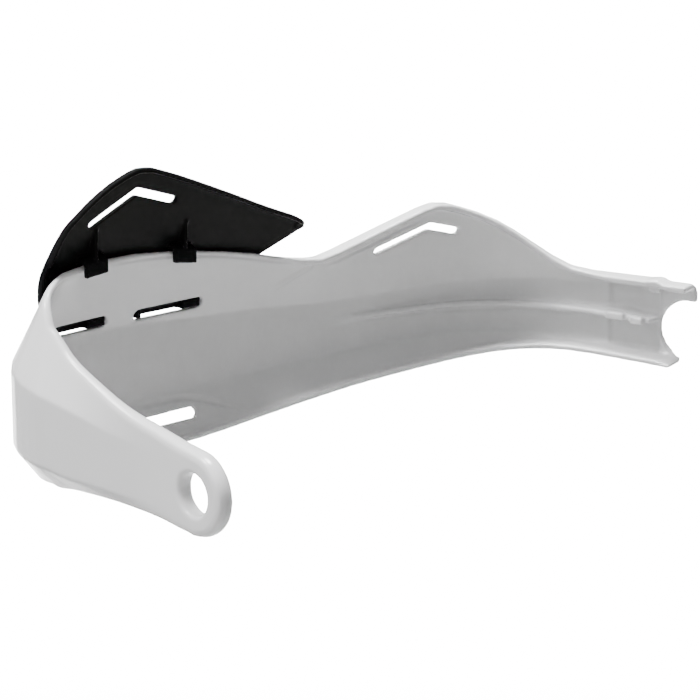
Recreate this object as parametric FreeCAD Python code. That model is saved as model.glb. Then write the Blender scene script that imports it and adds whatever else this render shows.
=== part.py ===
import FreeCAD, Part
import math
import os

# Motorcycle hand guard for the left grip, in millimetres.
# A white moulded shell wraps round the outboard end of the handlebar and runs in front of
# the fingers to a half-round saddle near the middle of the bar. A black moulded spoiler
# clips on its upper edge near the outboard corner.
# Frame: the origin is the middle of the bar-end bore, halfway through the ear.
# +X runs along the grip towards the middle of the bike, +Y forward, +Z up.

# Plan of the outer face, as (length, turn in degrees) runs from the bore's centre.
# The first run leaves the bore along +Y; a positive turn bows outboard.
EAR_SEAT = (14.0, 0.0)
EAR_BOW = (22.0, 12.0)
EAR_SIDE = (44.5, 0.0)
OUTER_CORNER = (47.0, -98.0)
FRONT_WALL = (198.0, -9.0)
INNER_CORNER = (88.0, -61.0)
ARM = (38.5, -8.0)
RUNS = [EAR_SEAT, EAR_BOW, EAR_SIDE, OUTER_CORNER, FRONT_WALL, INNER_CORNER, ARM]
START_HEADING = 90.0
GUARD_LENGTH = sum(length for length, turn in RUNS)

# How far the guard's heights start above the bore's axis
GUARD_RISE = 0.6

# How far the cutters run past what they cut
CUT_OVER = 1.0

# Ear and bore
EAR_RADIUS = 16.2
EAR_THICKNESS = 7.2
EAR_EDGE = 3.0
EAR_INNER_EDGE = 2.4
EAR_STEPS = 2
EAR_DISH = 0.2
BORE_RADIUS = 8.0
BORE_RIM = 1.8
BORE_LIFT = 0.2
EAR_FACE = -0.5 * EAR_THICKNESS

# Wall and rims
WALL = 3.0
RIM = 3.0
SILL = 2.6
RIM_EDGE = 0.8
ARM_DEPTH = 11.5

# Heights along the guard, as (distance along the plan, height)
TOP_EDGE = [(0, EAR_RADIUS - GUARD_RISE), (10, 16.7), (21, 18.7), (31, 20.9), (40, 23.8), (50, 28.0),
            (62, 33.2), (72, 38.5), (76, 41.4), (80, 45.0), (84, 48.9), (88, 52.2), (92.5, 54.8),
            (99, 57.0), (107, 58.9), (116, 60.3), (127, 61.1), (138, 61.6), (150, 62.1),
            (160, 62.0), (170, 61.3), (184, 59.6), (199, 57.1), (212, 54.6), (225, 51.7),
            (238, 48.2), (250, 45.3), (259, 43.8), (265, 44.8), (287, 50.6), (305, 55.6),
            (314, 57.9), (319, 58.6), (325, 57.8), (340, 53.6), (351, 49.8), (362, 44.8),
            (373, 38.2), (383, 31.6), (390, 27.6), (397, 25.1), (408, 24.0), (424, 23.9),
            (433, 23.9), (436.5, 24.5), (438.5, 24.5), (441, 23.2), (457, 23.4)]
UPPER_CREASE = [(0, 9.6), (30, 11.2), (42, 12.6), (51, 14.5), (62, 17.4), (78, 20.8), (89, 23.8),
                (100, 26.1), (120, 28.6), (138, 29.7), (161, 29.1), (175, 28.4), (206, 25.8),
                (229, 24.2), (254, 22.0), (279, 20.0), (304, 19.2), (354, 18.5), (457, 17.8)]
LOWER_CREASE = [(0, -9.8), (26, -10.0), (40, -9.6), (60, -9.0), (74, -7.7), (86, -5.8), (102, -3.6),
                (135, -2.7), (200, -2.8), (232, -2.8), (279, -2.0), (304, -2.4), (354, -3.4),
                (370, -4.2), (387, -5.7), (406, -7.1), (425, -8.0), (457, -8.4)]
BOTTOM_EDGE = [(0, -EAR_RADIUS - GUARD_RISE), (12, -15.9), (27, -14.9), (45, -14.6), (60, -15.3), (72, -16.3), (84, -16.8),
               (97, -17.4), (112, -18.8), (135, -20.8), (160, -21.8), (190, -21.5), (210, -20.6),
               (234, -18.5), (265, -15.9), (287, -14.3), (311, -13.2), (338, -12.2), (363, -10.8),
               (382, -10.3), (395, -10.6), (414, -11.6), (430, -12.4), (457, -13.6)]

# How far the edges lean inwards from the middle facet
TOP_LEAN = [(0, 0.0), (21, 0.2), (31, 0.7), (40, 1.7), (50, 3.2), (62, 5.5), (72, 7.7), (80, 9.5),
            (88, 11.4), (96, 13.2), (104, 15.0), (112, 16.4), (120, 16.8), (128, 16.2),
            (136, 14.9), (146, 14.3), (160, 14.6), (184, 14.9), (199, 14.4), (212, 13.9),
            (225, 13.0), (240, 11.9), (260, 10.6), (285, 11.8), (318, 13.6), (345, 10.6),
            (373, 7.0), (390, 4.4), (405, 3.2), (457, 2.6)]
BOTTOM_LEAN = [(0, 0.0), (24, 0.5), (45, 3.0), (65, 6.5), (85, 9.4), (110, 10.0), (285, 10.0),
               (335, 8.0), (375, 5.2), (405, 3.2), (457, 2.4)]

# The hollow's wall, the top flange that stands in from it (hardly more than the wall's own edge
# before the fin), and how far the rim's inner corner lies below its outer one
WALL_DEPTH = [(0, EAR_THICKNESS - EAR_DISH), (20, 6.7), (34, 6.1), (46, 5.4), (60, 4.7), (75, 4.1),
              (92, 3.4), (110, WALL), (457, WALL)]
TOP_FLANGE = [(0, EAR_DISH), (249, EAR_DISH), (262, 4.3), (385, 4.4), (405, 6.4), (420, ARM_DEPTH - WALL),
              (457, ARM_DEPTH - WALL)]
TOP_DROP = [(0, 0.0), (30, 0.4), (50, 0.9), (75, 1.2), (92, 1.3), (240, 1.2), (262, 0.0), (457, 0.0)]
RIM_THICKNESS = [(0, 4.2), (30, 4.8), (60, 4.2), (90, RIM), (457, RIM)]

# Depth of the bottom rim from the outer face, and its thickness
BOTTOM_DEPTH = [(0, EAR_THICKNESS), (44, 6.4), (65, 5.4), (85, 4.6), (110, 4.2), (275, 4.2),
                (315, 5.6), (355, 7.8), (385, 9.8), (410, ARM_DEPTH), (457, ARM_DEPTH)]
SILL_THICKNESS = [(0, 4.2), (20, 3.2), (45, 3.0), (90, SILL), (457, SILL)]

# How far the corners are turned back: the top rim's outer corner, and the others
TOP_SETBACK = [(0, EAR_EDGE), (30, 2.8), (60, 2.2), (80.5, 1.6), (110, 1.4), (140, RIM_EDGE),
               (385, RIM_EDGE), (405, 2.6), (457, 2.6)]
EDGE_SETBACK = [(0, EAR_INNER_EDGE), (30, 2.2), (60, 1.6), (80.5, 1.0), (110, RIM_EDGE), (457, RIM_EDGE)]

# Sections of the two lofts, which meet at the end of the ear's flat side.
# The ear's surfaces run smoothly through its sections; the thin front's run straight from one
# to the next, so its sections lie close together in the corners.
EAR_STATIONS = [0, 7, 14, 21, 28.5, 36, 44, 52, 61, 70, 80.5]
FRONT_STATIONS = [80.5, 84.5, 89, 94, 101, 108, 115, 121, 127.5, 136, 150, 166, 182, 198, 212, 226, 238,
                  247, 254, 260, 268, 279, 291, 303, 312, 319, 327, 337, 348, 359, 368, 377, 386,
                  395, 406, 417, 433, 436.5, 438.5, 441, GUARD_LENGTH]

# Saddle over the bar at the inboard end
SADDLE_RADIUS = 12.9
SADDLE_Y = 28.2
SADDLE_Z = 1.5
LOWER_FINGER_CUT = 6.5

# Middle rib and pockets of the arm
RIB_THICKNESS = 2.4
RIB_HEIGHT = [(272, 11.6), (290, 11.4), (314, 10.6), (338, 9.6), (360, 8.6), (380, 7.6), (396, 6.9),
              (411, 6.5), (424, 5.6), (440, 4.4), (457, 3.2)]
RIB_DEPTH = [(272, WALL), (290, 4.0), (317, 5.8), (345, 7.2), (380, 8.8), (400, 10.4), (412, 11.2),
             (421, 11.2), (426, 9.0), (457, 9.0)]
RIB_STATIONS = [274, 284, 296, 308, 320, 332, 344, 356, 368, 380, 392, 402, 412, 422, 432, 442,
                GUARD_LENGTH]
NIBS = [(413.5, 422.0), (425.0, 431.0)]
NIB_ROOT = 8.0
NIB_TIP = 12.0
NIB_HALF = 1.8
NIB_WALL = 0.9
NIB_SLOT = 2.0
FLANGE_TAB = (433.5, 438.5)
TAB_DEPTH = (8.6, 11.2)
TAB_HEIGHT = 4.0
POCKET_START = 412.5
POCKET_END = 436.0
POCKET_SINK = 1.2
POCKET_GAP = 0.8

# Vents, as (start, end, height of the centre, height of the slot)
VENTS = [(131.0, 159.0, 33.3, 4.6), (172.7, 206.3, 32.8, 4.6)]
LOWER_VENT = (169.0, 201.3, -12.0, 4.0)

# Chevron slots, as (start, apex, end) points of their centre line
CHEVRON_WIDTH = 3.0
FIN_CHEVRON = [(294.5, 40.4), (320.5, 47.6), (335.5, 43.2)]
SPOILER_CHEVRON = [(140.1, 77.9), (157.7, 88.9), (177.0, 82.3)]

# Spoiler
SPOILER_THICKNESS = 2.2
SPOILER_FIT = 0.4
SPOILER_LIP_DEPTH = 3.0
SPOILER_LIP_HEIGHT = 2.0
SPOILER_SLOPE = [(110, 0.419), (135, 0.428), (160, 0.443), (185, 0.464), (212, 0.473), (250, 0.476)]
SPOILER_TOP = [(110.5, 65.5), (113, 68.0), (118.5, 74.0), (128.5, 80.6), (136, 88.0), (144, 94.0),
               (150, 97.0), (155, 98.8), (161, 98.4), (168, 96.2), (197, 84.6), (230, 70.4),
               (245, 64.2), (248, 62.4), (249.5, 60.5)]
SPOILER_FOOT = [(110.5, 61.0), (113, 58.5), (119.5, 51.5), (126, 42.5), (130, 36.0), (134, 31.6),
                (138, 31.3), (208, 31.3), (214, 34.6), (220, 39.5), (228, 46.3), (233.8, 49.7),
                (241.6, 53.7), (248, 57.2), (249.5, 58.6)]
SPOILER_STATIONS = [110.5, 111.5, 113, 115.5, 118.5, 122, 125.5, 128.5, 131, 134, 137, 140, 144, 148,
                    152, 155, 158, 162, 168, 176, 186, 198, 208, 214, 220, 228, 234, 241, 245, 248,
                    249.5]
GUSSETS = [142.5, 187.3]
GUSSET_THICKNESS = 1.6
GUSSET_RISE = 13.0
HOOK_WIDTH = 11.4
HOOK_THICKNESS = 2.2
HOOK_DROP = 4.6
HOOK_FALL = 1.8
TONGUE_LENGTH = 9.0
SHORT_TONGUE = 2.4
TONGUE_HEIGHT = 3.4
TONGUE_END_GAP = 1.1


def along(table, s):
    """Value at distance s of a table of (distance, value), joined by a smooth curve."""
    if s <= table[0][0]:
        return table[0][1]
    if s >= table[-1][0]:
        return table[-1][1]
    slopes = [(b[1] - a[1]) / float(b[0] - a[0]) for a, b in zip(table, table[1:])]
    i = max(k for k in range(len(slopes)) if table[k][0] <= s)
    low, high = table[i], table[i + 1]
    span = float(high[0] - low[0])

    def tangent(k):
        if k == 0 or k == len(slopes):
            return slopes[0] if k == 0 else slopes[-1]
        before, after = slopes[k - 1], slopes[k]
        if before * after <= 0.0:
            return 0.0
        return 2.0 * before * after / (before + after)

    t = (s - low[0]) / span
    m0, m1 = tangent(i) * span, tangent(i + 1) * span
    return ((2 * t**3 - 3 * t**2 + 1) * low[1] + (t**3 - 2 * t**2 + t) * m0
            + (3 * t**2 - 2 * t**3) * high[1] + (t**3 - t**2) * m1)


def plan_point(s):
    """Place and heading of the outer face's plan curve at distance s."""
    x, y, heading = EAR_FACE, 0.0, math.radians(START_HEADING)
    for length, turn in RUNS:
        run = min(s, length)
        bend = math.radians(turn) / length
        if abs(bend) < 1e-9:
            x += run * math.cos(heading)
            y += run * math.sin(heading)
        else:
            after = heading + bend * run
            x += (math.sin(after) - math.sin(heading)) / bend
            y -= (math.cos(after) - math.cos(heading)) / bend
            heading = after
        s -= run
        if s <= 0.0:
            break
    return x, y, heading


def place(s, depth, z):
    """Point at distance s, a depth inwards from the plan curve, at height z."""
    x, y, heading = plan_point(s)
    return FreeCAD.Vector(x + depth * math.sin(heading), y - depth * math.cos(heading),
                          z + GUARD_RISE)


def inward(s):
    heading = plan_point(s)[2]
    return FreeCAD.Vector(math.sin(heading), -math.cos(heading), 0)


def forward(s):
    heading = plan_point(s)[2]
    return FreeCAD.Vector(math.cos(heading), math.sin(heading), 0)


def worked_wire(points, setbacks, steps):
    """Closed wire through the points; each corner with a setback is turned in even steps."""
    outline = []
    count = len(points)
    for i in range(count):
        corner, before, after = points[i], points[i - 1], points[(i + 1) % count]
        if setbacks[i] == 0.0:
            outline.append(corner)
            continue
        start = corner + (before - corner).normalize() * setbacks[i]
        end = corner + (after - corner).normalize() * setbacks[i]
        for k in range(steps + 1):
            t = k / float(steps)
            outline.append(start * (1 - t)**2 + corner * (2 * t * (1 - t)) + end * t**2)
    return Part.makePolygon(outline + outline[:1])


def facet_depth(s, z):
    """Depth of the shell's outer face at height z; the facets run on past their edges."""
    top, bottom = along(TOP_EDGE, s), along(BOTTOM_EDGE, s)
    upper, lower = along(UPPER_CREASE, s), along(LOWER_CREASE, s)
    if z >= upper:
        return along(TOP_LEAN, s) * (z - upper) / (top - upper)
    if z <= lower:
        return along(BOTTOM_LEAN, s) * (lower - z) / (lower - bottom)
    return 0.0


def rim_depth(s, z):
    """Depth of the top rim's inner side at height z."""
    return facet_depth(s, z) + along(WALL_DEPTH, s) + along(TOP_FLANGE, s)


def shell_wire(s, steps):
    """Section of the shell: three outer facets, the rims, and the hollow inside.
    The thick ear's edges turn in steps, the thin wall's in one bevel."""
    top, bottom = along(TOP_EDGE, s), along(BOTTOM_EDGE, s)
    upper, lower = along(UPPER_CREASE, s), along(LOWER_CREASE, s)
    top_lean, bottom_lean = along(TOP_LEAN, s), along(BOTTOM_LEAN, s)
    wall = along(WALL_DEPTH, s)
    roof, sill = top - along(RIM_THICKNESS, s), bottom + along(SILL_THICKNESS, s)
    bottom_tip = bottom_lean + along(BOTTOM_DEPTH, s)
    edge = along(EDGE_SETBACK, s)
    corners = [(top_lean, top, along(TOP_SETBACK, s)), (0.0, upper, 0.0), (0.0, lower, 0.0),
               (bottom_lean, bottom, edge), (bottom_tip, bottom, edge), (bottom_tip, sill, 0.0),
               (facet_depth(s, sill) + wall, sill, 0.0), (wall, lower, 0.0),
               (wall, upper, 0.0), (facet_depth(s, roof) + wall, roof, 0.0),
               (rim_depth(s, roof), roof, 0.0), (rim_depth(s, top - along(TOP_DROP, s)),
                                                 top - along(TOP_DROP, s), edge)]
    return worked_wire([place(s, depth, z) for depth, z, setback in corners],
                       [setback for depth, z, setback in corners], steps)


def ear_end():
    """Half-round end of the ear: its section at the bore, turned about the bore's axis."""
    outer = [FreeCAD.Vector(EAR_FACE, 0, 0), FreeCAD.Vector(EAR_FACE, 0, EAR_RADIUS),
             FreeCAD.Vector(-EAR_FACE, 0, EAR_RADIUS), FreeCAD.Vector(-EAR_FACE, 0, 0)]
    face = Part.Face(worked_wire(outer, [0.0, EAR_EDGE, EAR_INNER_EDGE, 0.0],
                                  EAR_STEPS))
    return face.revolve(FreeCAD.Vector(0, 0, 0), FreeCAD.Vector(1, 0, 0), 180)


def bore_cutter():
    """Bore with softly turned rims, spun about its axis."""
    lip, rim = EAR_FACE - BORE_LIFT, BORE_RADIUS + BORE_RIM
    over = lip - CUT_OVER
    outline = [FreeCAD.Vector(x, 0, z) for x, z in [
        (over, 0), (over, rim), (lip, rim), (lip, BORE_RADIUS),
        (-lip, BORE_RADIUS), (-lip, rim), (-over, rim), (-over, 0)]]
    setbacks = [0.0, 0.0, 0.0, BORE_RIM, BORE_RIM, 0.0, 0.0, 0.0]
    face = Part.Face(worked_wire(outline, setbacks, EAR_STEPS))
    return face.revolve(FreeCAD.Vector(0, 0, 0), FreeCAD.Vector(1, 0, 0), 360)


def slot_cutter(start, end, z, height):
    """Round-ended slot through the wall, along the plan curve."""
    middle = 0.5 * (start + end)
    run, half = forward(middle), 0.5 * height
    centre, deep = place(middle, -CUT_OVER, z), along(TOP_LEAN, middle) + WALL + 2.0 * CUT_OVER
    reach = 0.5 * (end - start) - half
    up = FreeCAD.Vector(0, 0, 1)
    a, b = centre - run * reach, centre + run * reach
    lines = [Part.LineSegment(a + up * half, b + up * half).toShape(),
             Part.Arc(b + up * half, b + run * half, b - up * half).toShape(),
             Part.LineSegment(b - up * half, a - up * half).toShape(),
             Part.Arc(a - up * half, a - run * half, a + up * half).toShape()]
    return Part.Face(Part.Wire(lines)).extrude(inward(middle) * deep)


def chevron_cutter(points, width, depth_of):
    """Bent slot with round ends through a leaning plate, cut square to the plan curve."""
    middle = points[1][0]
    run, up = forward(middle), FreeCAD.Vector(0, 0, 1)
    origin = place(middle, 0.0, 0.0)
    line = [origin + run * (s - middle) + up * z for s, z in points]
    middle_depth, deep = depth_of(middle, points[1][1]), along(TOP_LEAN, middle)
    cutter = None
    for a, b in zip(line, line[1:]):
        side = (b - a).normalize().cross(inward(middle)) * (0.5 * width)
        ahead = (b - a).normalize() * (0.5 * width)
        edges = [Part.LineSegment(a + side, b + side).toShape(),
                 Part.Arc(b + side, b + ahead, b - side).toShape(),
                 Part.LineSegment(b - side, a - side).toShape(),
                 Part.Arc(a - side, a - ahead, a + side).toShape()]
        arm = Part.Face(Part.Wire(edges)).extrude(inward(middle) * deep)
        arm.translate(inward(middle) * (middle_depth - 0.5 * deep))
        cutter = arm if cutter is None else cutter.fuse(arm)
    return cutter


def section_wire(s, corners):
    """Closed polygon in the upright plane square to the plan curve at distance s."""
    return Part.makePolygon([place(s, depth, z) for depth, z in corners + corners[:1]])


def block(start, end, near, far, low, high):
    """Plain block that follows the plan curve between two distances."""
    corners = [(near, low), (far, low), (far, high), (near, high)]
    return Part.makeLoft([section_wire(s, corners) for s in (start, end)], True, True)


def middle_rib():
    wires = []
    for s in RIB_STATIONS:
        mid, half = along(RIB_HEIGHT, s), 0.5 * RIB_THICKNESS
        root, tip = 0.5 * WALL, along(RIB_DEPTH, s)
        wires.append(section_wire(s, [(root, mid + half), (root, mid - half),
                                      (tip, mid - half), (tip, mid + half)]))
    rib = Part.makeLoft(wires, True, True)
    for start, end in NIBS:
        mid = along(RIB_HEIGHT, 0.5 * (start + end))
        rib = rib.fuse(block(start, end, NIB_ROOT, NIB_TIP, mid - NIB_HALF, mid + NIB_HALF))
    for start, end in NIBS:
        mid = along(RIB_HEIGHT, 0.5 * (start + end)) - NIB_HALF
        rib = rib.cut(block(start + NIB_WALL, end - NIB_WALL, NIB_TIP - NIB_SLOT, NIB_TIP + CUT_OVER,
                            mid + NIB_WALL, mid + 2.0 * NIB_WALL))
    return rib


def flange_tab():
    """Small tab under the arm's top flange, next to the saddle."""
    start, end = FLANGE_TAB
    near, far = TAB_DEPTH
    high = along(TOP_EDGE, start) - 0.5 * RIM
    return block(start, end, near, far, high - TAB_HEIGHT, high)


def pocket(side):
    """Sunk floor between the middle rib and one rim; side is +1 above the rib, -1 below."""
    wires = []
    for k in range(4):
        s = POCKET_START + (POCKET_END - POCKET_START) * k / 3.0
        near = along(RIB_HEIGHT, s) + side * (0.5 * RIB_THICKNESS + POCKET_GAP)
        if side > 0:
            bend, far = along(UPPER_CREASE, s), along(TOP_EDGE, s) - RIM - POCKET_GAP
        else:
            bend, far = along(LOWER_CREASE, s), along(BOTTOM_EDGE, s) + SILL + POCKET_GAP
        floor, lean = WALL - POCKET_SINK, facet_depth(s, far)
        wires.append(section_wire(s, [(floor, near), (floor, bend), (floor + lean, far),
                                      (floor + lean + 2.0 * POCKET_SINK, far),
                                      (floor + 2.0 * POCKET_SINK, bend),
                                      (floor + 2.0 * POCKET_SINK, near)]))
    return Part.makeLoft(wires, True, True)


def saddle_cutter():
    """Half-round notch for the bar, and the step that shortens the finger below it."""
    end, reach = GUARD_LENGTH, ARM_DEPTH + SADDLE_RADIUS
    start = FreeCAD.Vector(place(end, reach, 0).x, SADDLE_Y, place(end, reach, SADDLE_Z).z)
    notch = Part.makeCylinder(SADDLE_RADIUS, 2.0 * reach, start, FreeCAD.Vector(1, 0, 0))
    step = block(end - LOWER_FINGER_CUT, end + CUT_OVER, -SADDLE_RADIUS, reach,
                 along(BOTTOM_EDGE, end) - CUT_OVER, SADDLE_Z)
    return notch.fuse(step)


def guard_shell():
    ear = Part.makeLoft([shell_wire(s, EAR_STEPS) for s in EAR_STATIONS], True)
    front = Part.makeLoft([shell_wire(s, 1) for s in FRONT_STATIONS], True, True)
    shell = front.fuse([ear, ear_end(), middle_rib(), flange_tab()])
    cutters = [bore_cutter(), saddle_cutter(), pocket(1), pocket(-1),
               chevron_cutter(FIN_CHEVRON, CHEVRON_WIDTH, facet_depth)]
    cutters += [slot_cutter(*vent) for vent in VENTS + [LOWER_VENT]]
    return shell.cut(cutters)


def spoiler_face(s, z):
    """Depth of the spoiler's outer face: it lies on the shell's upper facet, run on upwards."""
    return along(SPOILER_SLOPE, s) * (z - along(UPPER_CREASE, s)) - SPOILER_FIT - SPOILER_THICKNESS


def spoiler_plate():
    wires = []
    for s in SPOILER_STATIONS:
        foot, top = along(SPOILER_FOOT, s), along(SPOILER_TOP, s)
        under = top - SPOILER_LIP_HEIGHT
        wires.append(section_wire(s, [
            (spoiler_face(s, foot), foot), (spoiler_face(s, top), top),
            (spoiler_face(s, top) + SPOILER_LIP_DEPTH, top),
            (spoiler_face(s, top) + SPOILER_LIP_DEPTH, under),
            (spoiler_face(s, under) + SPOILER_THICKNESS, under),
            (spoiler_face(s, foot) + SPOILER_THICKNESS, foot)]))
    return Part.makeLoft(wires, True, True)


def hook_and_gusset(s):
    """Hook over the shell's top rim, with the triangular rib that stiffens the plate."""
    half = 0.5 * HOOK_WIDTH
    root = 0.5 * SPOILER_THICKNESS
    wires = []
    for station in (s - half, s, s + half):
        rim = along(TOP_EDGE, station)
        under, over = rim + SPOILER_FIT, rim + SPOILER_FIT + HOOK_THICKNESS
        inside = rim_depth(station, rim - along(TOP_DROP, station)) + SPOILER_FIT
        outside = inside + HOOK_THICKNESS
        wires.append(section_wire(station, [
            (spoiler_face(station, over) + root, over), (inside, over),
            (outside, over - HOOK_FALL), (outside, rim - HOOK_DROP),
            (inside, rim - HOOK_DROP), (inside, under), (spoiler_face(station, under) + root, under)]))
    hook = Part.makeLoft(wires, True, True)
    rim = along(TOP_EDGE, s)
    low, high = rim + SPOILER_FIT + 0.5 * HOOK_THICKNESS, rim + GUSSET_RISE
    tip = rim_depth(s, rim - along(TOP_DROP, s)) + SPOILER_FIT + HOOK_THICKNESS
    triangle = Part.Face(section_wire(s, [(spoiler_face(s, low) + root, low), (tip, low),
                                          (spoiler_face(s, high) + root, high)]))
    gusset = triangle.extrude(forward(s) * GUSSET_THICKNESS)
    gusset.translate(forward(s) * (-0.5 * GUSSET_THICKNESS))
    return [hook, gusset]


def tongue(start, end, z):
    """Lug that the spoiler's skirt pushes through one end of a vent."""
    near = spoiler_face(start, z) + 0.5 * SPOILER_THICKNESS
    far = facet_depth(start, z) + WALL
    return block(start, end, near, far, z - 0.5 * TONGUE_HEIGHT, z + 0.5 * TONGUE_HEIGHT)


def spoiler():
    pieces = []
    for s in GUSSETS:
        pieces += hook_and_gusset(s)
    for start, end, z, height in VENTS:
        pieces.append(tongue(end - TONGUE_END_GAP - TONGUE_LENGTH, end - TONGUE_END_GAP, z))
        pieces.append(tongue(start + TONGUE_END_GAP, start + TONGUE_END_GAP + SHORT_TONGUE, z))
    plate = spoiler_plate().fuse(pieces)
    return plate.cut(chevron_cutter(SPOILER_CHEVRON, CHEVRON_WIDTH, spoiler_face))


def write(name, shape):
    solids = shape.Solids
    print(name, "solids", len(solids), "valid", shape.isValid(), "volume", round(shape.Volume))
    Part.makeCompound(solids).exportStep("parts/%s.step" % name)


if __name__ == "__main__":
    os.makedirs("parts", exist_ok=True)
    write("guard_shell", guard_shell())
    write("spoiler", spoiler())
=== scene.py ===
# %% [markdown]
# A motorcycle hand guard, dressed for its portrait
#
# The guard is two mouldings. A pale glossy shell wraps round the end of the handlebar and
# runs in front of the fingers, and a black wind deflector clips on its upper edge. The
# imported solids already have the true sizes, so this lesson never measures anything anew.
# It takes each solid, turns its hard edges into the soft ones that a mould leaves, and
# gives the two plastics their finish.

import math

import bmesh
import bpy
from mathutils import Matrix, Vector
from mathutils.bvhtree import BVHTree
from mathutils.geometry import intersect_point_line
from mathutils.kdtree import KDTree


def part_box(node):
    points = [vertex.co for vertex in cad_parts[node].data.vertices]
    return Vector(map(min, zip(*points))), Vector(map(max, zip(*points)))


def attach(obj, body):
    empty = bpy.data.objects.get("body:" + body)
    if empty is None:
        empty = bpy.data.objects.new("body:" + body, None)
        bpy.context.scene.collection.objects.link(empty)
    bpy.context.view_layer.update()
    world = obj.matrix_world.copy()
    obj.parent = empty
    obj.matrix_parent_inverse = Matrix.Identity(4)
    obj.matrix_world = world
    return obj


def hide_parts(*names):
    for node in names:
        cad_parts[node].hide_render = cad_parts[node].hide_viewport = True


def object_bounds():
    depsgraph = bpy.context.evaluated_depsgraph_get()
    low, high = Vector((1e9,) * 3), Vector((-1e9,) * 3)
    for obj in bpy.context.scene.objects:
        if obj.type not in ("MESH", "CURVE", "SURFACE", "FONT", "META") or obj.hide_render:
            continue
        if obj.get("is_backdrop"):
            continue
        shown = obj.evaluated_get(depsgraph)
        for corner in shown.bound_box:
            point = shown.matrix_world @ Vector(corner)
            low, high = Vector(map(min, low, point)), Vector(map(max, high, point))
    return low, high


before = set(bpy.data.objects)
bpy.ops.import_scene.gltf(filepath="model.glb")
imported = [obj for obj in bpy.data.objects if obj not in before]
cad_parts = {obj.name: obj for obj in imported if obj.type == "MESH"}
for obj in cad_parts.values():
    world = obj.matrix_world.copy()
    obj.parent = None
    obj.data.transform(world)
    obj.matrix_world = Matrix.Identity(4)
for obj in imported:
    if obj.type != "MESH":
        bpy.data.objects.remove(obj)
solid_box = [list(corner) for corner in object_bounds()]
MM = 0.001
for name in sorted(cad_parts):
    low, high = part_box(name)
    print(name, "measures", [round((b - a) / MM, 1) for a, b in zip(low, high)], "mm")

# %% [markdown]
# The camera
#
# A long lens from some distance keeps the two ends of the guard nearly the same scale, as a
# catalogue picture does. Another way is to look through a short lens from close by, but
# then the bar-end eye would swell and the far saddle shrink. The camera looks at a point
# near the middle of the shell, from the rider's side, a little above it.

# %% Camera
CAMERA_PLACE = Vector((-0.66444, -0.84744, 0.3623))
CAMERA_AIM = Vector((0.6306, 0.7259, -0.2760))
CAMERA_LENS = 162.15
SENSOR_WIDTH = 36.0

camera_data = bpy.data.cameras.new("camera")
camera_data.lens = CAMERA_LENS
camera_data.sensor_width = SENSOR_WIDTH
camera = bpy.data.objects.new("camera", camera_data)
bpy.context.scene.collection.objects.link(camera)
camera.location = CAMERA_PLACE
camera.rotation_euler = CAMERA_AIM.to_track_quat("-Z", "Y").to_euler()
bpy.context.scene.camera = camera
print("camera stands", round(CAMERA_PLACE.length, 2), "m from the bar-end eye")

# %% [markdown]
# The studio
#
# A pale part on a white ground needs two lightings that don't mix. A long panel hangs over
# the floor behind the guard and shines straight down, so that the ground goes white while
# the guard stays out of its beam. One lamp for everything is simpler, but then a pale part
# melts into its ground. The guard itself has a dim white sky, which leaves its hollow side
# in an even grey, and a panel on the left for the outside of the ear. Two small panels
# overhead, one above the ear and one above the arm, draw the bright line along the rims.
# The floor lies well below, because the guard is held by its bar-end bore and touches
# nothing.

# %% Floor and sky
FLOOR_DROP = 0.45
FLOOR_SIZE = 14.0
FLOOR_WHITE = 0.9
FLOOR_ROUGHNESS = 0.9
FLOOR_REFLECTION = 0.1
SKY_STRENGTH = 0.46


def plain_floor():
    """Pale square under the guard, declared as stage."""
    mesh = bpy.data.meshes.new("floor")
    half = 0.5 * FLOOR_SIZE
    corners = [(-half, -half), (half, -half), (half, half), (-half, half)]
    mesh.from_pydata([(x, y, -FLOOR_DROP) for x, y in corners], [], [(0, 1, 2, 3)])
    floor = bpy.data.objects.new("floor", mesh)
    bpy.context.scene.collection.objects.link(floor)
    paint = bpy.data.materials.new("floor_paint")
    paint.use_nodes = True
    shader = paint.node_tree.nodes["Principled BSDF"]
    shader.inputs["Base Color"].default_value = (FLOOR_WHITE, FLOOR_WHITE, FLOOR_WHITE, 1.0)
    shader.inputs["Roughness"].default_value = FLOOR_ROUGHNESS
    shader.inputs["Specular IOR Level"].default_value = FLOOR_REFLECTION
    mesh.materials.append(paint)
    floor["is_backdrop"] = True
    return floor


def white_sky():
    """Even white light from all round."""
    world = bpy.data.worlds.new("studio")
    world.use_nodes = True
    background = world.node_tree.nodes["Background"]
    background.inputs["Color"].default_value = (1.0, 1.0, 1.0, 1.0)
    background.inputs["Strength"].default_value = SKY_STRENGTH
    bpy.context.scene.world = world
    return world


plain_floor()
white_sky()
print("floor", FLOOR_DROP, "m below the bar-end eye")

# %% Lights
GUARD_MIDDLE = Vector((0.14, 0.06, 0.02))
EAR_MIDDLE = Vector((0.05, 0.03, 0.0))
ARM_MIDDLE = Vector((0.22, 0.05, 0.02))
HEADING = Vector((CAMERA_AIM.x, CAMERA_AIM.y, 0.0)).normalized()
DOWN = Vector((0.0, 0.0, -1.0))
BACKDROP_AWAY = 2.5
BACKDROP_RISE = 0.9
BACKDROP_WIDTH = 1.8
BACKDROP_LENGTH = 3.8
BACKDROP_POWER = 460.0
BACKDROP_SPREAD = 40.0
SMALL_PANELS = [  # name, place, aim, side in metres, power in watts, spread in degrees
    ("panel_left", (-1.3, 0.1, 0.5), GUARD_MIDDLE, 1.0, 10.0, 180.0),
    ("panel_top", (-0.5, 0.25, 1.1), EAR_MIDDLE, 0.4, 2.5, 50.0),
    ("panel_rim", (0.24, 0.12, 1.3), ARM_MIDDLE, 0.4, 3.0, 35.0),
]


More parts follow.
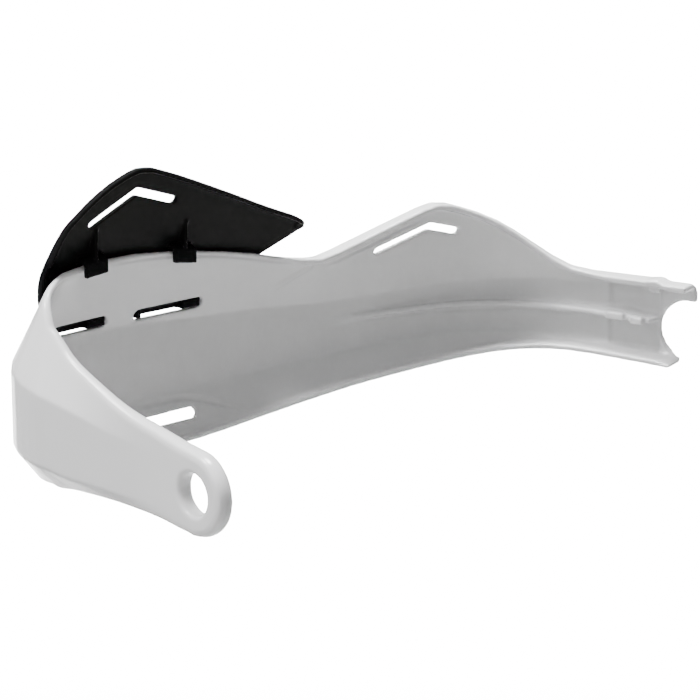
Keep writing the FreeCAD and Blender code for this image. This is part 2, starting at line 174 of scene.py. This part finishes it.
def area_light(name, place, facing, size, power, spread):
    """Panel at a place, turned to face along a direction: size is its two sides."""
    data = bpy.data.lights.new(name, "AREA")
    data.shape = "RECTANGLE"
    data.size, data.size_y = size
    data.energy = power
    data.spread = math.radians(spread)
    light = bpy.data.objects.new(name, data)
    bpy.context.scene.collection.objects.link(light)
    light.location = place
    light.rotation_euler = facing.to_track_quat("-Z", "Y").to_euler()
    return light


def lamp(name, place, aim, side, power, spread):
    """Square panel that looks at a point."""
    return area_light(name, place, aim - Vector(place), (side, side), power, spread)


backdrop_place = GUARD_MIDDLE + BACKDROP_AWAY * HEADING - BACKDROP_RISE * DOWN
backdrop = area_light("backdrop_panel", backdrop_place, DOWN,
                      (BACKDROP_WIDTH, BACKDROP_LENGTH), BACKDROP_POWER, BACKDROP_SPREAD)
backdrop.rotation_euler = (0.0, 0.0, math.atan2(HEADING.y, HEADING.x) - 0.5 * math.pi)
for panel in SMALL_PANELS:
    lamp(*panel)

# %% [markdown]
# From hard solids to soft mouldings
#
# A moulded edge is never sharp: the tool that cuts the mould leaves a small radius. One way
# to get it is a bevel on every edge, but these walls lean and twist, and bevels tangle where
# many short edges meet. Here the solid is rebuilt instead as an even net of small faces, and
# a node tree then lets each point drift a little towards its neighbours. Flat walls stay
# where they are, and only edges round off, by about the size of the net's faces.

# %% A node tree that rounds a moulding's edges
def soften_tree():
    """Each point takes the mean place of its neighbours, for some rounds."""
    tree = bpy.data.node_groups.new("soft_moulding", "GeometryNodeTree")
    face = tree.interface
    face.new_socket("Geometry", in_out="INPUT", socket_type="NodeSocketGeometry")
    face.new_socket("Rounds", in_out="INPUT", socket_type="NodeSocketInt")
    face.new_socket("Material", in_out="INPUT", socket_type="NodeSocketMaterial")
    face.new_socket("Geometry", in_out="OUTPUT", socket_type="NodeSocketGeometry")
    nodes, links = tree.nodes, tree.links
    source = nodes.new("NodeGroupInput")
    position = nodes.new("GeometryNodeInputPosition")
    blur = nodes.new("GeometryNodeBlurAttribute")
    blur.data_type = "FLOAT_VECTOR"
    move = nodes.new("GeometryNodeSetPosition")
    smooth = nodes.new("GeometryNodeSetShadeSmooth")
    realize = nodes.new("GeometryNodeRealizeInstances")
    paint = nodes.new("GeometryNodeSetMaterial")
    sink = nodes.new("NodeGroupOutput")
    links.new(position.outputs["Position"], blur.inputs["Value"])
    links.new(source.outputs["Rounds"], blur.inputs["Iterations"])
    links.new(source.outputs["Geometry"], move.inputs["Geometry"])
    links.new(blur.outputs["Value"], move.inputs["Position"])
    links.new(move.outputs["Geometry"], smooth.inputs["Geometry"])
    links.new(smooth.outputs["Geometry"], realize.inputs["Geometry"])
    links.new(realize.outputs["Geometry"], paint.inputs["Geometry"])
    links.new(source.outputs["Material"], paint.inputs["Material"])
    links.new(paint.outputs["Geometry"], sink.inputs["Geometry"])
    return tree


SOFTEN = soften_tree()
SOCKETS = {item.name: item.identifier for item in SOFTEN.interface.items_tree
           if item.in_out == "INPUT"}
print("node tree inputs:", sorted(SOCKETS))


# %% A solid becomes a moulding
WELD = 0.001 * MM


def moulding(node, name, net, rounds, material, extras=()):
    """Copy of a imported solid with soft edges.

    net is the size of its small faces, and extras are small closed shapes that melt into it.
    """
    mesh = bmesh.new()
    mesh.from_mesh(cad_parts[node].data)
    bmesh.ops.remove_doubles(mesh, verts=mesh.verts, dist=WELD)
    for corners, faces in extras:
        points = [mesh.verts.new(corner) for corner in corners]
        for face in faces:
            mesh.faces.new([points[index] for index in face])
    hard = bpy.data.meshes.new(name + "_hard")
    mesh.to_mesh(hard)
    mesh.free()
    hard.materials.clear()
    piece = bpy.data.objects.new(name, hard)
    bpy.context.scene.collection.objects.link(piece)
    remesh = piece.modifiers.new("even_net", "REMESH")
    remesh.mode = "VOXEL"
    remesh.voxel_size = net
    soften = piece.modifiers.new("soften", "NODES")
    soften.node_group = SOFTEN
    soften[SOCKETS["Rounds"]] = rounds
    soften[SOCKETS["Material"]] = material
    settle(piece)
    print(name, "has a net of", len(piece.data.polygons), "faces")
    return piece


def settle(piece):
    """Turn what the modifiers make into the piece's own mesh."""
    raw = piece.data
    graph = bpy.context.evaluated_depsgraph_get()
    made = bpy.data.meshes.new_from_object(piece.evaluated_get(graph))
    made.name = piece.name
    piece.modifiers.clear()
    piece.data = made
    bpy.data.meshes.remove(raw)


def thin_out(piece, keep):
    """Leave only a share of the triangles, the most where the surface bends."""
    piece.modifiers.new("thin", "DECIMATE").ratio = keep
    settle(piece)
    piece.data.calc_loop_triangles()
    print(piece.name, "keeps", len(piece.data.loop_triangles), "triangles")


print("solids to dress:", sorted(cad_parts))

# %% [markdown]
# The two plastics
#
# Both parts come out of a mould, so both have the same faint unevenness: the surface cools
# a little wavy, and handling leaves a fine haze. A node group makes that once, with its own
# inputs, and each plastic uses it with other values. Pixel pictures could do it too, but a
# pattern made from noise has no seams and no end.

# %% Fields and bumps for the shared surface
HAZE_SCALE, HAZE_DETAIL = 28.0, 4.0
WAVE_SCALE, WAVE_DETAIL = 45.0, 1.0
GRAIN_DETAIL = 3.0
HAZE_LOW, HAZE_HIGH = 0.3, 0.7
WAVE_HEIGHT = 1.0 * MM
GRAIN_HEIGHT = 0.2 * MM


def noise_field(tree, place, detail):
    """Smooth random field that sits still on the piece."""
    node = tree.nodes.new("ShaderNodeTexNoise")
    node.inputs["Detail"].default_value = detail
    tree.links.new(place.outputs["Object"], node.inputs["Vector"])
    return node


def bump(tree, field, strength, height, below=None):
    """Bump from a field, laid over the normal of another one where there is one below."""
    node = tree.nodes.new("ShaderNodeBump")
    node.inputs["Distance"].default_value = height
    tree.links.new(strength, node.inputs["Strength"])
    tree.links.new(field.outputs["Fac"], node.inputs["Height"])
    if below is not None:
        tree.links.new(below, node.inputs["Normal"])
    return node.outputs["Normal"]


print("full height of waves", WAVE_HEIGHT / MM, "mm, of grain", round(GRAIN_HEIGHT / MM, 2), "mm")


# %% Shared unevenness of a moulded surface
def surface_sockets(tree):
    """Name what goes into the group and what comes out."""
    face = tree.interface
    for label in ("Colour Drift", "Gloss Low", "Gloss High", "Wave Depth", "Grain Depth",
                  "Grain Size"):
        face.new_socket(label, in_out="INPUT", socket_type="NodeSocketFloat")
    face.new_socket("Colour", in_out="INPUT", socket_type="NodeSocketColor")
    face.new_socket("Colour", in_out="OUTPUT", socket_type="NodeSocketColor")
    face.new_socket("Roughness", in_out="OUTPUT", socket_type="NodeSocketFloat")
    face.new_socket("Normal", in_out="OUTPUT", socket_type="NodeSocketVector")


def moulded_group():
    """Uneven colour, gloss and normal of a moulded surface."""
    tree = bpy.data.node_groups.new("moulded_surface", "ShaderNodeTree")
    surface_sockets(tree)
    nodes, links = tree.nodes, tree.links
    source = nodes.new("NodeGroupInput")
    sink = nodes.new("NodeGroupOutput")
    place = nodes.new("ShaderNodeTexCoord")
    haze = noise_field(tree, place, HAZE_DETAIL)
    haze.inputs["Scale"].default_value = HAZE_SCALE
    wave = noise_field(tree, place, WAVE_DETAIL)
    wave.inputs["Scale"].default_value = WAVE_SCALE
    grain = noise_field(tree, place, GRAIN_DETAIL)
    links.new(source.outputs["Grain Size"], grain.inputs["Scale"])
    gloss = nodes.new("ShaderNodeMapRange")
    gloss.inputs["From Min"].default_value = HAZE_LOW
    gloss.inputs["From Max"].default_value = HAZE_HIGH
    links.new(haze.outputs["Fac"], gloss.inputs["Value"])
    links.new(source.outputs["Gloss Low"], gloss.inputs["To Min"])
    links.new(source.outputs["Gloss High"], gloss.inputs["To Max"])
    links.new(gloss.outputs["Result"], sink.inputs["Roughness"])
    drift = nodes.new("ShaderNodeMath")
    drift.operation = "MULTIPLY_ADD"
    drift.inputs[2].default_value = 1.0
    links.new(haze.outputs["Fac"], drift.inputs[0])
    links.new(source.outputs["Colour Drift"], drift.inputs[1])
    tint = nodes.new("ShaderNodeHueSaturation")
    links.new(source.outputs["Colour"], tint.inputs["Color"])
    links.new(drift.outputs["Value"], tint.inputs["Value"])
    links.new(tint.outputs["Color"], sink.inputs["Colour"])
    wavy = bump(tree, wave, source.outputs["Wave Depth"], WAVE_HEIGHT)
    grainy = bump(tree, grain, source.outputs["Grain Depth"], GRAIN_HEIGHT, wavy)
    links.new(grainy, sink.inputs["Normal"])
    return tree


MOULDED = moulded_group()
print("surface group inputs:", [item.name for item in MOULDED.interface.items_tree
                                if item.in_out == "INPUT"])


# %% One maker for both plastics
PLASTIC_IOR = 1.5


def plastic(name, colour, drift, gloss, waves, grain, grain_size, reflection):
    """Plastic whose colour, gloss and normal come from the shared group."""
    material = bpy.data.materials.new(name)
    material.use_nodes = True
    nodes, links = material.node_tree.nodes, material.node_tree.links
    shader = nodes["Principled BSDF"]
    shader.inputs["IOR"].default_value = PLASTIC_IOR
    shader.inputs["Specular IOR Level"].default_value = reflection
    surface = nodes.new("ShaderNodeGroup")
    surface.node_tree = MOULDED
    surface.inputs["Colour"].default_value = (*colour, 1.0)
    surface.inputs["Colour Drift"].default_value = drift
    surface.inputs["Gloss Low"].default_value = gloss[0]
    surface.inputs["Gloss High"].default_value = gloss[1]
    surface.inputs["Wave Depth"].default_value = waves
    surface.inputs["Grain Depth"].default_value = grain
    surface.inputs["Grain Size"].default_value = grain_size
    links.new(surface.outputs["Colour"], shader.inputs["Base Color"])
    links.new(surface.outputs["Roughness"], shader.inputs["Roughness"])
    links.new(surface.outputs["Normal"], shader.inputs["Normal"])
    return material


PALE_PLASTIC = plastic("pale_gloss_plastic", colour=(0.63, 0.63, 0.635), drift=0.03,
                       gloss=(0.14, 0.20), waves=0.04, grain=0.03, grain_size=1400.0,
                       reflection=0.5)
BLACK_PLASTIC = plastic("black_satin_plastic", colour=(0.004, 0.004, 0.0042), drift=0.2,
                        gloss=(0.30, 0.38), waves=0.05, grain=0.25, grain_size=1600.0,
                        reflection=0.03)
print("materials:", PALE_PLASTIC.name, BLACK_PLASTIC.name)

# %% [markdown]
# Fine lines on the hollow side
#
# The mould leaves shallow lines on the hollow side: a crease round the lower vent, a seam
# under the long rib, a faint ridge that runs down from the notch beside the fin, and a
# groove under the top edge and under the fin's edge. They are too fine for a solid, and a
# bump in the finish would vanish at a grazing view, so the points of the net themselves
# move. Each line is drawn as the picture shows it, and every point of it is thrown along
# the camera's sight onto the wall, so that it lies on the surface exactly.

# %% From the picture to the wall
FRAME_PIXELS = 700
PIXEL_STEP = 3.0
SIGHT = CAMERA_AIM.normalized()
SIGHT_RIGHT = SIGHT.cross(Vector((0.0, 0.0, 1.0))).normalized()
SIGHT_UP = SIGHT_RIGHT.cross(SIGHT)
FOCAL_PIXELS = CAMERA_LENS / SENSOR_WIDTH * FRAME_PIXELS


def on_surface(surface, pixel):
    """Point where the camera's line through a pixel first meets the surface."""
    across = pixel.x - 0.5 * FRAME_PIXELS
    rise = 0.5 * FRAME_PIXELS - pixel.y
    ray = SIGHT * FOCAL_PIXELS + SIGHT_RIGHT * across + SIGHT_UP * rise
    return surface.ray_cast(CAMERA_PLACE, ray.normalized())[0]


def line_on_surface(surface, corners):
    """Points close together along a line of pixels, all on the surface."""
    points = []
    for start, end in zip(corners, corners[1:]):
        start, end = Vector(start), Vector(end)
        steps = max(1, round((end - start).length / PIXEL_STEP))
        points += [on_surface(surface, start.lerp(end, k / steps)) for k in range(steps)]
    points.append(on_surface(surface, Vector(corners[-1])))
    return [point for point in points if point is not None]


pixel_size = (CAMERA_PLACE - GUARD_MIDDLE).length / FOCAL_PIXELS
print("one pixel covers about", round(pixel_size / MM, 2), "mm at the guard")

# %% A line sinks into the net
SEARCH_REACH = 2.0
FADE_POWER = 0.5
NEAR_END = 0.1


def fading(share):
    """Part of its depth that a line has at a share of its length: none at both ends."""
    return math.sin(math.pi * share) ** FADE_POWER


def engrave(piece, corners, depth, half_width):
    """Sink the piece's surface along a line, smoothly to both sides; a ridge has depth < 0."""
    mesh = piece.data
    surface = BVHTree.FromPolygons([v.co for v in mesh.vertices],
                                   [face.vertices for face in mesh.polygons])
    points = line_on_surface(surface, corners)
    tree = KDTree(len(points))
    for index, point in enumerate(points):
        tree.insert(point, index)
    tree.balance()
    moved = []
    for vertex in mesh.vertices:
        index, away = tree.find(vertex.co)[1:]
        if away > SEARCH_REACH * half_width:
            continue
        before, after = points[max(index - 1, 0)], points[min(index + 1, len(points) - 1)]
        nearest, share = intersect_point_line(vertex.co, before, after)
        nearest = before.lerp(after, min(max(share, 0.0), 1.0))
        reach = (vertex.co - nearest).length / half_width
        if reach < 1.0:
            fade = fading((index + 0.5) / len(points))
            moved.append((vertex, -depth * fade * (1.0 - reach ** 2) ** 2 * vertex.normal))
    for vertex, shift in moved:
        vertex.co += shift
    mesh.update()
    return len(moved)


print("a line has", round(fading(NEAR_END), 2), "of its depth at", NEAR_END, "of its length")

# %% [markdown]
# The shell
#
# The shell is the big moulding: thin in front of the fingers, thick round the bar-end bore.
# Its net is fine, so that the clip tab, the rib and the pockets beside the saddle stay
# crisp, and the flat stretches are thinned afterwards, where large triangles do as well.

# %% Shell
SHELL_NET = 0.6 * MM
SHELL_ROUNDS = 4
SHELL_KEEP = 0.38
VENT_CREASE = [(138, 407), (171, 399), (187, 397), (200, 399), (240, 407), (253, 411)]
RIB_SEAM = [(350, 321), (380, 317), (420, 312.5), (460, 309.5), (500, 308.3), (545, 309.7),
            (575, 312.5)]
NOTCH_RIDGE = [(318, 263), (296, 275), (272, 290)]
TOP_GROOVE = [(108, 265), (140, 259.5), (170, 256.5), (200, 255.5), (230, 256.5), (262, 259.5),
              (290, 263), (312, 265.5)]
FIN_GROOVE = [(330, 263.5), (360, 250), (390, 235.5), (418, 221)]
WALL_LINES = [  # name, corners in pixels, depth and half width in millimetres
    ("vent crease", VENT_CREASE, 0.8, 2.0),
    ("rib seam", RIB_SEAM, 0.55, 1.5),
    ("notch ridge", NOTCH_RIDGE, -0.5, 2.4),
    ("top groove", TOP_GROOVE, 0.7, 1.5),
    ("fin groove", FIN_GROOVE, 0.8, 1.7),
]
shell = moulding("guard_shell", "shell", SHELL_NET, SHELL_ROUNDS, PALE_PLASTIC)
for label, corners, depth, half_width in WALL_LINES:
    count = engrave(shell, corners, depth * MM, half_width * MM)
    print(label, "moved", count, "corners of the net")
thin_out(shell, SHELL_KEEP)
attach(shell, "root")
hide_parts("guard_shell")

# %% [markdown]
# The wind deflector
#
# The deflector is thinner and has finer edges, so its net is finer too. Its hooks and lugs
# come with the solid, and the softening gives them the small radii of the real part. The
# two webs above the hooks stand taller than the solid's, and the rear tip is round. A
# boolean union could add them, but the net is rebuilt anyway, so small closed shapes that
# overlap the solid simply melt into it.

# %% Shapes that melt into the deflector
GUSSET_HALF = 0.7 * MM
GUSSETS = [  # top and root at the deflector's face, and the tip over the hook
    ((26.0, 93.7, 79.0), (25.5, 100.4, 63.9), (25.9, 93.9, 63.9)),
    ((70.0, 94.6, 74.7), (69.9, 101.3, 61.2), (70.0, 95.2, 61.2)),
]
TIP_MIDDLE = Vector((129.9, 98.5, 60.6)) * MM
TIP_AXIS = Vector((0.0, 0.904, 0.428))
TIP_RADIUS = 2.4 * MM
TIP_THICKNESS = 2.2 * MM
TIP_SIDES = 24


def blade(corners):
    """Thin three-cornered web, square to X."""
    side = Vector((GUSSET_HALF, 0.0, 0.0))
    points = [Vector(corner) * MM for corner in corners]
    both = [point - side for point in points] + [point + side for point in points]
    return both, [(0, 2, 1), (3, 4, 5), (0, 1, 4, 3), (1, 2, 5, 4), (2, 0, 3, 5)]


def button(middle, axis, radius, thickness, sides):
    """Round disc on an axis."""
    across = axis.orthogonal().normalized()
    up = axis.cross(across)
    ring = []
    for end in (-0.5, 0.5):
        for k in range(sides):
            angle = math.tau * k / sides
            spoke = across * math.cos(angle) + up * math.sin(angle)
            ring.append(middle + radius * spoke + end * thickness * axis)
    faces = [tuple(reversed(range(sides))), tuple(range(sides, 2 * sides))]
    for k in range(sides):
        after = (k + 1) % sides
        faces.append((k, after, sides + after, sides + k))
    return ring, faces


extras = [blade(corners) for corners in GUSSETS]
extras.append(button(TIP_MIDDLE, TIP_AXIS.normalized(), TIP_RADIUS, TIP_THICKNESS, TIP_SIDES))
print(len(extras), "small shapes")

# %% Wind deflector
SPOILER_NET = 0.36 * MM
SPOILER_ROUNDS = 3
SPOILER_KEEP = 0.4
spoiler = moulding("spoiler", "wind_deflector", SPOILER_NET, SPOILER_ROUNDS, BLACK_PLASTIC,
                   extras)
thin_out(spoiler, SPOILER_KEEP)
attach(spoiler, "root")
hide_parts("spoiler")

# %% [markdown]
# Last look
#
# The dressed guard must fill the same space as the imported one. Both boxes are printed
# side by side, so that they can be compared.

# %% Sizes
dressed_box = [list(corner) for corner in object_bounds()]
for label, (low, high) in (("solids", solid_box), ("dressed", dressed_box)):
    print(label, [round((b - a) / MM, 1) for a, b in zip(low, high)], "mm")
